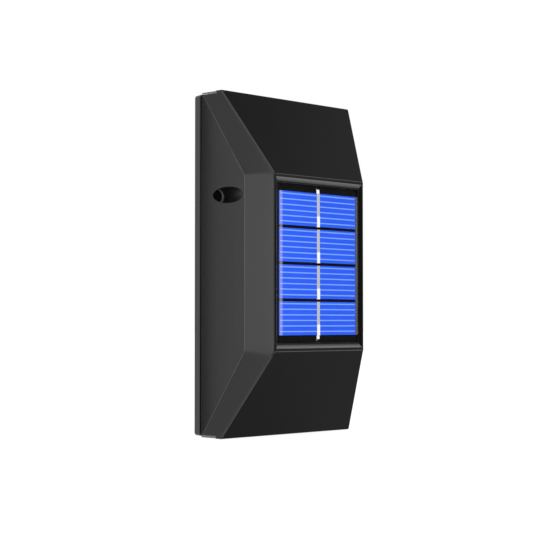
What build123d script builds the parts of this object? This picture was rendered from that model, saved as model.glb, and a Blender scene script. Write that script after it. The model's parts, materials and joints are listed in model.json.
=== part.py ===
from build123d import *
import os

# A solar wall light that throws its light up and down the wall. Sizes are millimetres.
# The wall is the plane Y = 0, the light stands out from it towards -Y, and Z points up.
# The origin is the middle of the back cover's rear face. A depth is a distance from the wall.

# Back cover and the seal in front of it
cover_width = 64.0
cover_thickness = 3.2
cover_end_gap = 0.5
cover_corner_radius = 1.2
cover_edge_radius = 0.4
seal_thickness = 0.7
seal_inset = 1.2
seal_width = 1.5

# Housing: the skirt slants from the cover to the waist, and the flank from the waist to the front
body_height = 120.0
body_depth = 30.0
front_height = 60.0
waist_inset = 8.0
waist_setback = 11.6
cheek_lean = 3.8
lip_rise = 8.0
wall = 2.0
edge_radius = 0.6
flank_bend_radius = 24.0

# End walls of the housing, and the two lenses that sit on them
end_setback = 1.1
end_wall = 2.0
slot_inset = 7.0
slot_ledge = 1.1
lens_flange = 0.9
lens_edge_inset = 0.2
lens_clearance = 0.1
lens_reach = 4.0
lens_edge_radius = 0.25

# Window in the front, and the solar panel glued into it
rim_side = 0.85
rim_end = 1.0
bevel_side = 1.15
bevel_end = 1.9
bevel_depth = 0.55
bevel_bulge = 0.12
panel_clearance = 0.1
panel_recess = 0.35
resin_over_cells = 0.65
resin_edge_radius = 0.5
cell_side_margin = 0.9
cell_end_margin = 2.5
cell_gap = 1.0
cell_count = 4
cell_thickness = 0.3
panel_board_thickness = 1.4
panel_tape_thickness = 0.6
panel_tape_width = 3.0
pocket_floor = 1.8
ribbon_width = 1.7
ribbon_thickness = 0.15
ribbon_overlap = 3.6
ribbon_tail = 1.5
ribbon_hole_radius = 0.9

# Holes for the two wall screws, reached through the slanted sides
wall_hole_inset = 5.0
wall_hole_height = 23.7
wall_hole_radius = 2.2
head_bore_radius = 2.8
head_floor = 2.6
tube_wall = 1.4

# Screws that hold the back cover to the housing
cover_screw_side_inset = 9.0
cover_screw_end_inset = 11.0
cover_screw_radius = 1.45
cover_screw_length = 9.5
cover_screw_head_radius = 2.7
cover_screw_head = 1.9
boss_radius = 2.9
screw_clearance = 0.03
hole_clearance = 0.2
head_clearance = 0.2

# Main board, on two posts of the back cover
main_board_width = 20.0
main_board_height = 37.0
main_board_thickness = 1.6
main_board_x = -11.0
post_height = 8.0
post_radius = 2.3
post_edge_distance = 2.8
board_screw_radius = 1.0
board_screw_length = 5.0
board_screw_head_radius = 1.9
board_screw_head = 1.3

# Parts soldered to the main board, with places measured from the board's middle
chip_x = 2.0
chip_z = 8.0
chip_length = 4.9
chip_width = 3.9
chip_height = 1.4
chip_leg = 0.4
chip_legs_per_side = 4
inductor_x = -5.0
inductor_z = -2.0
inductor_radius = 3.2
inductor_height = 5.0
inductor_flange = 0.8
winding_inset = 0.6
capacitor_x = 6.0
capacitor_z = -5.0
capacitor_radius = 2.5
capacitor_height = 8.0
capacitor_groove = 0.6
capacitor_groove_depth = 0.2
diode_x = -5.0
diode_z = -10.0
diode_length = 2.8
diode_width = 1.6
diode_height = 1.1
diode_tab = 0.5
resistor_x = -5.0
resistor_z = 8.0
resistor_pitch = 3.0
resistor_count = 3
resistor_length = 2.0
resistor_width = 1.25
resistor_height = 0.5

# Push switch on the main board, and its button in the back cover
switch_z = 0.0
switch_width = 7.0
switch_gap = 0.65
plunger_radius = 1.5
plunger_entry = 2.15
plunger_end_play = 0.55
plunger_clearance = 0.06
button_radius = 4.0
button_clearance = 0.08
button_recess = 0.6
button_flange_radius = 4.9
button_flange = 0.8
button_play = 0.05
button_edge_radius = 0.5
button_travel = 1.5

# Light-emitting diodes on two end boards, held in slotted ribs of the back cover
led_board_length = 34.0
led_board_depth = 8.0
led_board_thickness = 1.2
led_board_lift = 1.8
led_board_proud = 1.0
led_count = 3
led_pitch = 10.0
led_length = 3.5
led_width = 2.8
led_height = 0.8
rib_width = 2.6
rib_height = 4.0
rib_boss_gap = 0.1
rib_slot = 1.7
rib_slot_clearance = 0.05

# Rechargeable cell, its holder and contacts
battery_x = 10.0
battery_radius = 7.25
battery_length = 50.5
battery_nub_radius = 2.75
battery_nub = 1.0
battery_edge_radius = 0.5
battery_clearance = 0.3
battery_rest = 0.05
holder_wall = 1.2
holder_end_wall = 1.5
holder_rise = 2.0
holder_tape_thickness = 0.8
holder_tape_inset = 1.5
contact_width = 9.0
contact_thickness = 0.5
contact_tab = 2.3
leaf_space = 5.0
leaf_width = 6.0
leaf_thickness = 0.4
leaf_bend_radius = 1.0

# Wires inside the light
lead_radius = 0.6
lead_pitch = 3.0
lead_hole_clearance = 0.4
lead_run_height = 3.2
lead_end_inset = 3.5
panel_lead_x = 4.5
panel_lead_z = 4.0
panel_lead_drop = 2.5
battery_lead_reach = 5.0
lower_battery_lead_inset = 9.0

# Sizes and places that follow from the ones above
sides = (-1, 1)
ends = (-1, 1)
cover_height = body_height - 2 * cover_end_gap
rear_depth = cover_thickness + seal_thickness
half_body = body_height / 2
lip_depth = rear_depth + lip_rise
waist_depth = body_depth - waist_setback
waist_width = cover_width - 2 * waist_inset
front_width = waist_width - 2 * cheek_lean
end_height = half_body - end_setback
lens_top = end_height + lens_flange

pocket_width = front_width - 2 * (rim_side + bevel_side)
pocket_height = front_height - 2 * (rim_end + bevel_end)
panel_width = pocket_width - 2 * panel_clearance
panel_height = pocket_height - 2 * panel_clearance
panel_face = body_depth - panel_recess
cell_face = panel_face - resin_over_cells
cell_back = cell_face - cell_thickness
panel_board_back = cell_back - panel_board_thickness
pocket_depth = panel_board_back - panel_tape_thickness
floor_back = pocket_depth - pocket_floor
cell_width = panel_width - 2 * cell_side_margin
cell_height = (panel_height - 2 * cell_end_margin + cell_gap) / cell_count - cell_gap
cell_pitch = cell_height + cell_gap
cell_tops = [(cell_count / 2 - i) * cell_pitch - cell_gap / 2 for i in range(cell_count)]
ribbon_tip = cell_tops[0] + ribbon_tail

tube_radius = head_bore_radius + tube_wall
head_seat_depth = rear_depth + head_floor
wall_hole_x = cover_width / 2 - wall_hole_inset
wall_hole_places = [(side * wall_hole_x, wall_hole_height) for side in sides]
cover_screw_x = cover_width / 2 - cover_screw_side_inset
cover_screw_z = half_body - cover_screw_end_inset
cover_screw_places = [(side * cover_screw_x, end * cover_screw_z) for side in sides for end in ends]
cover_screw_seat = cover_screw_head + head_clearance
cover_screw_tip = cover_screw_seat + cover_screw_length

board_back = cover_thickness + post_height
board_face = board_back + main_board_thickness
post_x = main_board_width / 2 - post_edge_distance
post_z = main_board_height / 2 - post_edge_distance
post_places = [(main_board_x - post_x, post_z), (main_board_x + post_x, -post_z)]

button_front = cover_thickness + button_play + button_flange
switch_front = button_front + button_travel + switch_gap
plunger_tip = switch_front + plunger_entry
plunger_bore_end = plunger_tip + button_travel + plunger_end_play

led_board_z = cover_screw_z - boss_radius - rib_boss_gap - rib_height / 2
led_board_back = cover_thickness + led_board_lift
led_board_front = led_board_back + led_board_depth
rib_depth = led_board_front - led_board_proud

holder_floor = cover_thickness + holder_tape_thickness
battery_depth = holder_floor + holder_wall + battery_rest + battery_radius
holder_depth = battery_depth + holder_rise
holder_width = 2 * (battery_radius + battery_clearance + holder_wall)
half_holder = (battery_length + contact_thickness + leaf_space) / 2
battery_top = half_holder - contact_thickness
battery_bottom = battery_top - battery_length
contact_depths = (holder_floor + holder_wall, holder_depth + contact_tab)
tab_depth = holder_depth + contact_tab / 2

lead_hole_radius = lead_pitch / 2 + lead_radius + lead_hole_clearance
lead_run_depth = board_face + lead_run_height
board_lead_z = main_board_height / 2 - lead_end_inset


# Helpers that place plain shapes by depth, height and side

def front_plane(depth):
    """A plane parallel to the wall that faces the viewer: its x is X and its y is Z."""
    return Plane(origin=(0, -depth, 0), x_dir=(1, 0, 0), z_dir=(0, -1, 0))


def side_plane(x):
    """A plane square to X: its x is the depth from the wall and its y is Z."""
    return Plane(origin=(x, 0, 0), x_dir=(0, -1, 0), z_dir=(-1, 0, 0))


def slab(width, depths, heights, x=0.0):
    """A box of the given width about x, between two depths and two heights."""
    middle = Pos(x, -(depths[0] + depths[1]) / 2, (heights[0] + heights[1]) / 2)
    return middle * Box(width, depths[1] - depths[0], abs(heights[1] - heights[0]))


def rod(radius, depths, x=0.0, z=0.0):
    """A cylinder square to the wall, between two depths."""
    return extrude(front_plane(depths[0]) * Pos(x, z) * Circle(radius), depths[1] - depths[0])


def lead(points, radii):
    """A wire along straight runs that are joined by arcs."""
    path = FilletPolyline(*points, radius=radii)
    section = Plane(origin=path @ 0, z_dir=path % 0) * Circle(lead_radius)
    return sweep(section, path=path)


def save(node, *solids):
    """Writes one node, of one solid or of several alike."""
    shape = solids[0] if len(solids) == 1 else Compound(children=list(solids))
    shape.label = node
    export_step(shape, f"parts/{node}.step")


# Housing outline

def rear_corner(side, end):
    return Vector(side * cover_width / 2, -rear_depth, end * half_body)


def waist_corner(side, end):
    return Vector(side * waist_width / 2, -waist_depth, end * front_height / 2)


def front_corner(side, end):
    return Vector(side * front_width / 2, -body_depth, end * front_height / 2)


def lip_middle(end):
    return Vector(0, -lip_depth, end * half_body)


def facing_out(p, q, r):
    """The plane through three corners, facing away from the middle of the body."""
    normal = (q - p).cross(r - p).normalized()
    if normal.dot(p - Vector(0, -lip_depth / 2, 0)) < 0:
        normal = normal.reverse()
    return Plane(origin=p, z_dir=normal)


skirt_planes = [facing_out(rear_corner(s, 1), rear_corner(s, -1), waist_corner(s, 1)) for s in sides]
slope_planes = [facing_out(front_corner(-1, e), front_corner(1, e), lip_middle(e)) for e in ends]


def flank(side, skin):
    """All that lies inside one flank: a sheet, upright beside the window, that flares at its ends."""
    reach = cover_width + body_height
    cheek = facing_out(waist_corner(side, 1), waist_corner(side, -1), front_corner(side, 1))
    along = (front_corner(side, 1) - waist_corner(side, 1)).normalized()
    profile_plane = Plane(origin=waist_corner(side, 0), x_dir=cheek.z_dir, z_dir=along)
    bend = front_height / 2
    flare = cheek.to_local_coords(rear_corner(side, 1)).Z / (half_body - bend)
    outermost = flare * (reach - bend)
    bends = [(outermost, reach), (0, bend), (0, -bend), (outermost, -reach)]
    sheet = FilletPolyline(*bends, radius=flank_bend_radius)
    back = Polyline(bends[-1], (-reach, -reach), (-reach, reach), bends[0])
    face = make_face(sheet + back)
    if skin:
        face = offset(face, -skin, kind=Kind.INTERSECTION)
    return extrude(profile_plane * face, amount=reach, both=True)


def inside(planes, skin, block):
    """What is left of a block behind some planes of the outline that are drawn in by skin."""
    for plane in planes:
        block = split(block, bisect_by=plane.offset(-skin), keep=Keep.BOTTOM)
    return block


def body_block(skin, depths, half_height):
    """The body's outline, drawn in by skin: the skirt together with all that the flanks enclose."""
    trunk = inside(slope_planes, skin, slab(2 * cover_width, depths, (-half_height, half_height)))
    return inside(skirt_planes, skin, trunk) + (trunk & flank(-1, skin) & flank(1, skin))


def lies_on(plane, point):
    return abs(plane.to_local_coords(point).Z) < 1e-3


def rounded_body():
    """The outline with its outer edges rounded."""
    body = body_block(0, (rear_depth, body_depth), half_body)
    end_planes = [Plane.XY.offset(end * half_body) for end in ends]
    outer_planes = slope_planes + end_planes + [front_plane(body_depth)]
    edges = [e for e in body.edges() if any(lies_on(plane, e @ 0.5) for plane in outer_planes)]
    return fillet([e for e in edges if not lies_on(front_plane(rear_depth), e @ 0.5)], edge_radius)


def slope_back(z):
    """Depth of the slope wall's inner face at height z."""
    run = (body_depth - lip_depth) / (half_body - front_height / 2)
    return lip_depth + run * (half_body - z) - wall * (1 + run ** 2) ** 0.5


def beyond_end_wall(end):
    """The room past an end wall, behind the lip of the slope, where the lens sits."""
    room = slab(2 * cover_width, (0, body_depth), (end * end_height, end * body_height))
    return inside(slope_planes, wall, room)


def make_housing():
    outline = body_block(0, (rear_depth, body_depth), half_body)
    housing = rounded_body() - body_block(wall, (0, floor_back), end_height - end_wall)
    for end in ends:
        housing -= beyond_end_wall(end)
        housing -= lens_slot(0, end, (end_height - 2 * end_wall, end_height))
    for x, z in cover_screw_places:
        boss = rod(boss_radius, (rear_depth, slope_back(cover_screw_z) + wall / 2), x, z)
        housing += boss & outline
        pilot = (rear_depth, cover_screw_tip + wall / 2)
        housing -= rod(cover_screw_radius + screw_clearance, pilot, x, z)
    for x, z in wall_hole_places:
        housing += rod(tube_radius, (rear_depth, body_depth), x, z) & outline
        housing -= rod(head_bore_radius, (head_seat_depth, body_depth), x, z)
        housing -= rod(wall_hole_radius, (rear_depth, head_seat_depth), x, z)
    housing -= slab(pocket_width, (pocket_depth, body_depth), (-pocket_height / 2, pocket_height / 2))
    housing -= window_bevel()
    lead_hole = (floor_back, pocket_depth)
    return housing - rod(lead_hole_radius, lead_hole, main_board_x + panel_lead_x, panel_lead_z)


def bevel_section(foot, bevel):
    """The room between two bulging bevels, with depth as x: foot is half the width at their feet."""
    foot_depth = body_depth - bevel_depth
    mouth = foot + bevel
    upper = SagittaArc((body_depth, mouth), (foot_depth, foot), -bevel_bulge)
    lower = SagittaArc((body_depth, -mouth), (foot_depth, -foot), bevel_bulge)
    closing = [Line(upper @ 0, lower @ 0), Line(upper @ 1, lower @ 1)]
    return make_face([upper, lower] + closing)


def window_bevel():
    """The room in front of the pocket, whose four bevels meet in mitres at the corners."""
    upright = side_plane(0) * bevel_section(pocket_height / 2, bevel_end)
    across = Plane(origin=(0, 0, 0), x_dir=(0, -1, 0), z_dir=(0, 0, 1))
    level = across * bevel_section(pocket_width / 2, bevel_side)
    return extrude(upright, front_width, both=True) & extrude(level, front_height, both=True)


def lens_slot(margin, end, heights):
    """The slot in an end wall, drawn in by margin."""
    depths = (rear_depth + slot_ledge + margin, slope_back(end_height) - slot_ledge - margin)
    width = cover_width - 2 * (slot_inset + margin)
    return slab(width, depths, (end * heights[0], end * heights[1]))


def make_lens(end):
    flange = slab(2 * cover_width, (rear_depth, body_depth), (end * end_height, end * lens_top))
    flange = inside(slope_planes, wall + lens_clearance, flange)
    flange &= flank(-1, lens_edge_inset) & flank(1, lens_edge_inset)
    rim = flange.faces().sort_by(Axis.Z)[0 if end < 0 else -1].edges()
    flange = fillet(rim, lens_edge_radius)
    return flange + lens_slot(lens_clearance, end, (end_height - lens_reach, end_height))


# Back cover

def make_back_cover():
    outline = RectangleRounded(cover_width, cover_height, cover_corner_radius)
    plate = extrude(front_plane(0) * outline, cover_thickness)
    cover = fillet(plate.faces().sort_by(Axis.Y)[0].edges(), cover_edge_radius)
    inner_half = cover_width / 2 - seal_inset - seal_width - hole_clearance
    pad_room = slab(2 * inner_half, (0, rear_depth), (-half_body, half_body))
    for x, z in wall_hole_places:
        cover += rod(tube_radius, (cover_thickness, rear_depth), x, z) & pad_room
        cover -= rod(wall_hole_radius, (0, rear_depth), x, z)
    for x, z in cover_screw_places:
        cover += rod(boss_radius, (cover_thickness, rear_depth), x, z)
        cover -= rod(cover_screw_head_radius + head_clearance, (0, cover_screw_seat), x, z)
        cover -= rod(cover_screw_radius + hole_clearance, (0, rear_depth), x, z)
    for side in sides:
        for end in ends:
            cover += led_rib(side, end)
    for x, z in post_places:
        cover += rod(post_radius, (cover_thickness, board_back), x, z)
        cover -= rod(board_screw_radius + screw_clearance, (cover_thickness, board_back), x, z)
    return cover - rod(button_radius + button_clearance, (0, cover_thickness), main_board_x, switch_z)


def led_rib(side, end):
    """A rib that stands on the cover and takes one end of a diode board in its slot."""
    outer = led_board_length / 2 + rib_width - rib_slot
    x = side * (outer - rib_width / 2)
    rib = slab(rib_width, (cover_thickness, rib_depth),
               (end * led_board_z - rib_height / 2, end * led_board_z + rib_height / 2), x)
    slot_half = led_board_thickness / 2 + rib_slot_clearance
    slot = slab(led_board_length + 2 * rib_slot_clearance, (led_board_back, rib_depth),
                (end * led_board_z - slot_half, end * led_board_z + slot_half))
    return rib - slot


def make_back_seal():
    outer = Rectangle(cover_width - 2 * seal_inset, cover_height - 2 * seal_inset)
    inset = 2 * (seal_inset + seal_width)
    ring = outer - Rectangle(cover_width - inset, cover_height - inset)
    return extrude(front_plane(cover_thickness) * ring, seal_thickness)


def make_cover_screws():
    head_start = cover_screw_seat - cover_screw_head
    arm = cover_screw_head_radius
    screws = []
    for x, z in cover_screw_places:
        head = rod(cover_screw_head_radius, (head_start, cover_screw_seat), x, z)
        head = fillet(head.faces().sort_by(Axis.Y)[-1].edges(), cover_screw_head / 3)
        for width, height in ((arm, arm / 4), (arm / 4, arm)):
            recess = (0, head_start + cover_screw_head / 2)
            head -= slab(width, recess, (z - height / 2, z + height / 2), x)
        screws.append(head + rod(cover_screw_radius, (cover_screw_seat, cover_screw_tip), x, z))
    return screws


# Solar panel

def make_panel_board():
    board = slab(panel_width, (panel_board_back, cell_back), (-panel_height / 2, panel_height / 2))
    for end in ends:
        hole_z = end * (ribbon_tip - ribbon_thickness / 2)
        board -= rod(ribbon_hole_radius, (panel_board_back, cell_back), 0, hole_z)
    return board


def make_panel_tape():
    """A frame of foam tape, open in the middle for the wires."""
    depths = (pocket_depth, panel_board_back)
    half = panel_height / 2
    opening_half = half - panel_tape_width
    opening = slab(panel_width - 2 * panel_tape_width, depths, (-opening_half, opening_half))
    return slab(panel_width, depths, (-half, half)) - opening


def make_solar_cell(top):
    return slab(cell_width, (cell_back, cell_face), (top - cell_height, top))


def make_ribbon_tail(end):
    """Ribbon past the last cell: along the panel board, then down through its hole."""
    along = slab(ribbon_width, (cell_back, cell_back + ribbon_thickness),
                 (end * cell_tops[0], end * ribbon_tip))
    down = slab(ribbon_width, (panel_board_back, cell_back),
                (end * (ribbon_tip - ribbon_thickness), end * ribbon_tip))
    return along + down


def make_cell_ribbon(top):
    """Ribbon on the lower part of a cell, which steps down beside the cell to the board."""
    bottom = top - cell_height
    strip = slab(ribbon_width, (cell_face, cell_face + ribbon_thickness),
                 (bottom - ribbon_thickness, bottom + ribbon_overlap))
    ribbon = strip + slab(ribbon_width, (cell_back, cell_face), (bottom - ribbon_thickness, bottom))
    return ribbon + make_ribbon_tail(-1) if top == cell_tops[-1] else ribbon


def make_panel_resin(covered):
    """The clear layer poured over the cells: it fills all that they and the ribbons leave free."""
    resin = slab(panel_width, (cell_back, panel_face), (-panel_height / 2, panel_height / 2))
    resin = fillet(resin.faces().sort_by(Axis.Y)[0].edges(), resin_edge_radius)
    for piece in covered:
        resin -= piece
    return resin


# Main board and what is soldered to it

def make_main_board():
    board = slab(main_board_width, (board_back, board_face),
                 (-main_board_height / 2, main_board_height / 2), main_board_x)
    for x, z in post_places:
        board -= rod(board_screw_radius + hole_clearance, (board_back, board_face), x, z)
    return board


def make_board_screws():
    tip = board_face - board_screw_length
    screws = []
    for x, z in post_places:
        head = rod(board_screw_head_radius, (board_face, board_face + board_screw_head), x, z)
        head = fillet(head.faces().sort_by(Axis.Y)[0].edges(), board_screw_head / 3)
        screws.append(head + rod(board_screw_radius, (tip, board_face), x, z))
    return screws


def box_on_board(length, width, heights, x, z):
    """A box on the board's face, between two heights over it."""
    depths = (board_face + heights[0], board_face + heights[1])
    return slab(length, depths, (z - width / 2, z + width / 2), main_board_x + x)


def rod_on_board(radius, heights, x, z):
    """A cylinder on the board's face, between two heights over it."""
    return rod(radius, (board_face + heights[0], board_face + heights[1]), main_board_x + x, z)


def make_driver_chip():
    """A small outline package: a moulded body between two rows of legs."""
    lift = chip_leg / 4
    chip = box_on_board(chip_length, chip_width, (lift, lift + chip_height), chip_x, chip_z)
    pitch = chip_length / chip_legs_per_side
    for i in range(chip_legs_per_side):
        leg_x = chip_x + (i - (chip_legs_per_side - 1) / 2) * pitch
        chip += box_on_board(chip_leg, chip_width + 4 * chip_leg, (0, chip_height / 2), leg_x, chip_z)
    return chip


def make_boost_inductor():
    """A drum core: two flanges with the winding between them."""
    place = (inductor_x, inductor_z)
    foot = rod_on_board(inductor_radius, (0, inductor_flange), *place)
    top = rod_on_board(inductor_radius, (inductor_height - inductor_flange, inductor_height), *place)
    return foot + rod_on_board(inductor_radius - winding_inset, (0, inductor_height), *place) + top


def make_storage_capacitor():
    """A can with the rolled groove near its foot."""
    place = (capacitor_x, capacitor_z)
    can = rod_on_board(capacitor_radius, (0, capacitor_height), *place)
    can = fillet(can.faces().sort_by(Axis.Y)[0].edges(), capacitor_groove_depth)
    band = (2 * capacitor_groove, 3 * capacitor_groove)
    core = rod_on_board(capacitor_radius - capacitor_groove_depth, band, *place)
    return can - (rod_on_board(capacitor_radius, band, *place) - core)


def make_rectifier_diode():
    """A two-legged package with a flat tab at each end."""
    body = box_on_board(diode_length, diode_width, (0, diode_height), diode_x, diode_z)
    over_tabs = diode_length + 2 * diode_tab
    return body + box_on_board(over_tabs, diode_width / 2, (0, diode_tab / 2), diode_x, diode_z)


def make_chip_resistors():
    lowest = resistor_z - (resistor_count - 1) / 2 * resistor_pitch
    heights = (0, resistor_height)
    places = [lowest + i * resistor_pitch for i in range(resistor_count)]
    return [box_on_board(resistor_length, resistor_width, heights, resistor_x, z) for z in places]


# Push switch

def make_switch_body():
    heights = (switch_z - switch_width / 2, switch_z + switch_width / 2)
    body = slab(switch_width, (switch_front, board_back), heights, main_board_x)
    bore = (switch_front, plunger_bore_end)
    return body - rod(plunger_radius + plunger_clearance, bore, main_board_x, switch_z)


def make_switch_plunger():
    return rod(plunger_radius, (button_front, plunger_tip), main_board_x, switch_z)


def make_switch_button():
    """A cap in the cover's hole, kept in by a flange behind the cover."""
    cap = rod(button_radius, (button_recess, button_front), main_board_x, switch_z)
    cap = fillet(cap.faces().sort_by(Axis.Y)[-1].edges(), button_edge_radius)
    flange_depths = (button_front - button_flange, button_front)
    return cap + rod(button_flange_radius, flange_depths, main_board_x, switch_z)


# Light-emitting diodes

def make_led_board(end):
    half = led_board_thickness / 2
    heights = (end * led_board_z - half, end * led_board_z + half)
    return slab(led_board_length, (led_board_back, led_board_front), heights)


def make_leds(end):
    face = led_board_z + led_board_thickness / 2
    middle = (led_board_back + led_board_front) / 2
    depths = (middle - led_width / 2, middle + led_width / 2)
    places = [(i - (led_count - 1) / 2) * led_pitch for i in range(led_count)]
    return [slab(led_length, depths, (end * face, end * (face + led_height)), x) for x in places]


# Rechargeable cell

def make_battery_cell():
    can_length = battery_length - battery_nub
    can = Cylinder(battery_radius, can_length)
    can = fillet(can.edges(), battery_edge_radius)
    nub = Pos(0, 0, can_length / 2 + battery_nub / 2) * Cylinder(battery_nub_radius, battery_nub)
    return Pos(battery_x, -battery_depth, battery_bottom + can_length / 2) * (can + nub)


def make_battery_holder():
    """A tray with low walls, notched in the middle so that the cell can be taken out."""
    outer = half_holder + holder_end_wall
    tray = slab(holder_width, (holder_floor, holder_depth), (-outer, outer), battery_x)
    inside = (holder_floor + holder_wall, holder_depth)
    tray -= slab(holder_width - 2 * holder_wall, inside, (-half_holder, half_holder), battery_x)
    notch = (battery_depth, holder_depth)
    return tray - slab(holder_width, notch, (-half_holder / 2, half_holder / 2), battery_x)


def make_holder_tape():
    half = half_holder + holder_end_wall - holder_tape_inset
    width = holder_width - 2 * holder_tape_inset
    return slab(width, (cover_thickness, holder_floor), (-half, half), battery_x)


def make_positive_contact():
    return slab(contact_width, contact_depths, (battery_top, half_holder), battery_x)


def make_negative_contact():
    """A plate with a bowed leaf that presses on the cell's flat end."""
    plate_face = contact_thickness - half_holder
    plate = slab(contact_width, contact_depths, (-half_holder, plate_face), battery_x)
    foot = plate_face - leaf_thickness / 2
    peak = battery_bottom - leaf_thickness / 2
    bow = FilletPolyline(
        (battery_depth - leaf_space, foot),
        (battery_depth - leaf_space / 4, peak),
        (battery_depth + leaf_space / 4, peak),
        (battery_depth + leaf_space * 3 / 4, (foot + peak) / 2),
        radius=leaf_bend_radius)
    strip = side_plane(battery_x) * trace(bow, line_width=leaf_thickness)
    return plate + extrude(strip, leaf_width / 2, both=True)


# Wires

def make_panel_leads():
    """From the back of the panel, through the pocket's floor, to the main board."""
    room = panel_board_back - board_face
    board_z = panel_lead_z - panel_lead_drop
    leads = []
    for side in sides:
        x = main_board_x + panel_lead_x + side * lead_pitch / 2
        points = [
            (x, -panel_board_back, panel_lead_z),
            (x, -board_face - 0.55 * room, panel_lead_z),
            (x, -board_face - 0.3 * room, board_z),
            (x, -board_face, board_z),
        ]
        leads.append(lead(points, [5 * lead_radius, 5 * lead_radius]))
    return leads


def make_battery_leads():
    """From each contact's tab, round the end of the holder, to the main board."""
    board_x = main_board_x + post_x
    out = half_holder + battery_lead_reach
    lower_z = main_board_height / 2 - lower_battery_lead_inset
    leads = []
    for end, board_z in ((1, board_lead_z), (-1, lower_z)):
        points = [
            (battery_x, -tab_depth, end * half_holder),
            (battery_x, -tab_depth, end * out),
            (board_x, -tab_depth, end * out),
            (board_x, -tab_depth, end * board_z),
            (board_x, -board_face, end * board_z),
        ]
        leads.append(lead(points, [4 * lead_radius, 6 * lead_radius, 2 * lead_radius]))
    return leads


def make_led_leads(end):
    """From the inner face of a diode board to the main board."""
    start_depth = (led_board_back + led_board_front) / 2
    face = led_board_z - led_board_thickness / 2
    room = face - main_board_height / 2
    leads = []
    for side in sides:
        x = main_board_x + side * lead_pitch / 2
        points = [
            (x, -start_depth, end * face),
            (x, -start_depth, end * (face - 0.4 * room)),
            (x, -lead_run_depth, end * (face - 0.75 * room)),
            (x, -lead_run_depth, end * board_lead_z),
            (x, -board_face, end * board_lead_z),
        ]
        leads.append(lead(points, [8 * lead_radius, 8 * lead_radius, 2 * lead_radius]))
    return leads


os.makedirs("parts", exist_ok=True)

save("housing", make_housing())
save("back_cover", make_back_cover())
save("back_seal", make_back_seal())
save("cover_screws", *make_cover_screws())
save("upper_lens", make_lens(1))
save("lower_lens", make_lens(-1))

covered = []
for number, top in enumerate(cell_tops, start=1):
    cell, ribbon = make_solar_cell(top), make_cell_ribbon(top)
    save(f"solar_cell_{number}", cell)
    save(f"cell_ribbon_{number}", ribbon)
    covered += [cell, ribbon]
end_ribbon = make_ribbon_tail(1)
save("end_ribbon", end_ribbon)
save("panel_resin", make_panel_resin(covered + [end_ribbon]))
save("panel_board", make_panel_board())
save("panel_tape", make_panel_tape())

save("main_board", make_main_board())
save("board_screws", *make_board_screws())
save("driver_chip", make_driver_chip())
save("boost_inductor", make_boost_inductor())
save("storage_capacitor", make_storage_capacitor())
save("rectifier_diode", make_rectifier_diode())
save("chip_resistors", *make_chip_resistors())
save("switch_body", make_switch_body())
save("switch_plunger", make_switch_plunger())
save("switch_button", make_switch_button())

for name, end in (("upper", 1), ("lower", -1)):
    save(f"{name}_led_board", make_led_board(end))
    save(f"{name}_leds", *make_leds(end))
    save(f"{name}_led_leads", *make_led_leads(end))

save("battery_cell", make_battery_cell())
save("battery_holder", make_battery_holder())
save("holder_tape", make_holder_tape())
save("positive_contact", make_positive_contact())
save("negative_contact", make_negative_contact())
save("panel_leads", *make_panel_leads())
save("battery_leads", *make_battery_leads())
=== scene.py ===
# %% [markdown]
# # A solar wall light, dressed around its CAD frame
# The light is a black moulded body on a flat back cover. A small solar panel fills the window in its front, and a
# frosted lens at each end throws light up and down the wall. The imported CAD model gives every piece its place, so
# this lesson adds what solids lack: broken edges, grain, printed lines, gloss and light.

# %% Load the frame
import json
import math

import bmesh
import bpy
from mathutils import Matrix, Vector


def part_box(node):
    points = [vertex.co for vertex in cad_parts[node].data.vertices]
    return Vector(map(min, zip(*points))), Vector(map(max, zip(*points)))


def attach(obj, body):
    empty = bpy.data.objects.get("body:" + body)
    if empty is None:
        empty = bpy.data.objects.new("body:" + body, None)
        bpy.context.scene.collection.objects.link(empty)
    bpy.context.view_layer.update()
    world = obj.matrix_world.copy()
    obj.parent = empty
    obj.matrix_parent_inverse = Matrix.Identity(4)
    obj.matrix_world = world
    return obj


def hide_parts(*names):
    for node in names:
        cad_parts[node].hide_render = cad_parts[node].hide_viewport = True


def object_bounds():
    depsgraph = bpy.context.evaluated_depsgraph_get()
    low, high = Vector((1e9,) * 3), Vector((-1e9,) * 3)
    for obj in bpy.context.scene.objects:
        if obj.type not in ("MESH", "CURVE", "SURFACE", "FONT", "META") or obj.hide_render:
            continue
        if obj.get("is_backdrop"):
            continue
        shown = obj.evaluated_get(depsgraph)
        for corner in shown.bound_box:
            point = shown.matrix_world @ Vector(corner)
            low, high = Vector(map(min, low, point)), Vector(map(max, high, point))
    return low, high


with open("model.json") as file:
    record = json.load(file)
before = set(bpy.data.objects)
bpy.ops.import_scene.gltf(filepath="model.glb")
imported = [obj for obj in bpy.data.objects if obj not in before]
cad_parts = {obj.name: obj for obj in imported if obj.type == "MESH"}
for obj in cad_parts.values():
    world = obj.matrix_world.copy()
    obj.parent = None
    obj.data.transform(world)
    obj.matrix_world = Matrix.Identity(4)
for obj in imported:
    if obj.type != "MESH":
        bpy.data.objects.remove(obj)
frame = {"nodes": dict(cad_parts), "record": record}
cad_low, cad_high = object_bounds()
mm = 0.001
print("CAD box in mm:", [round(v / mm, 1) for v in cad_high - cad_low])

# %% [markdown]
# ## Camera
# A camera is matched to a photograph by its place, its turn and its focal length. These were fitted to the corners
# of the body. The upright edges are almost parallel in the picture, so most of the framing is done with a small
# upward shift of the lens, and the rest with a tilt of under two degrees.

# %% Camera
camera_place = Vector((-248.0, -321.06, -20.22)) * mm
camera_turn = math.radians(37.645)
camera_tilt = math.radians(1.529)
lens_length = 74.71
lens_shift = 0.05
nearest_seen = 10 * mm

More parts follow.
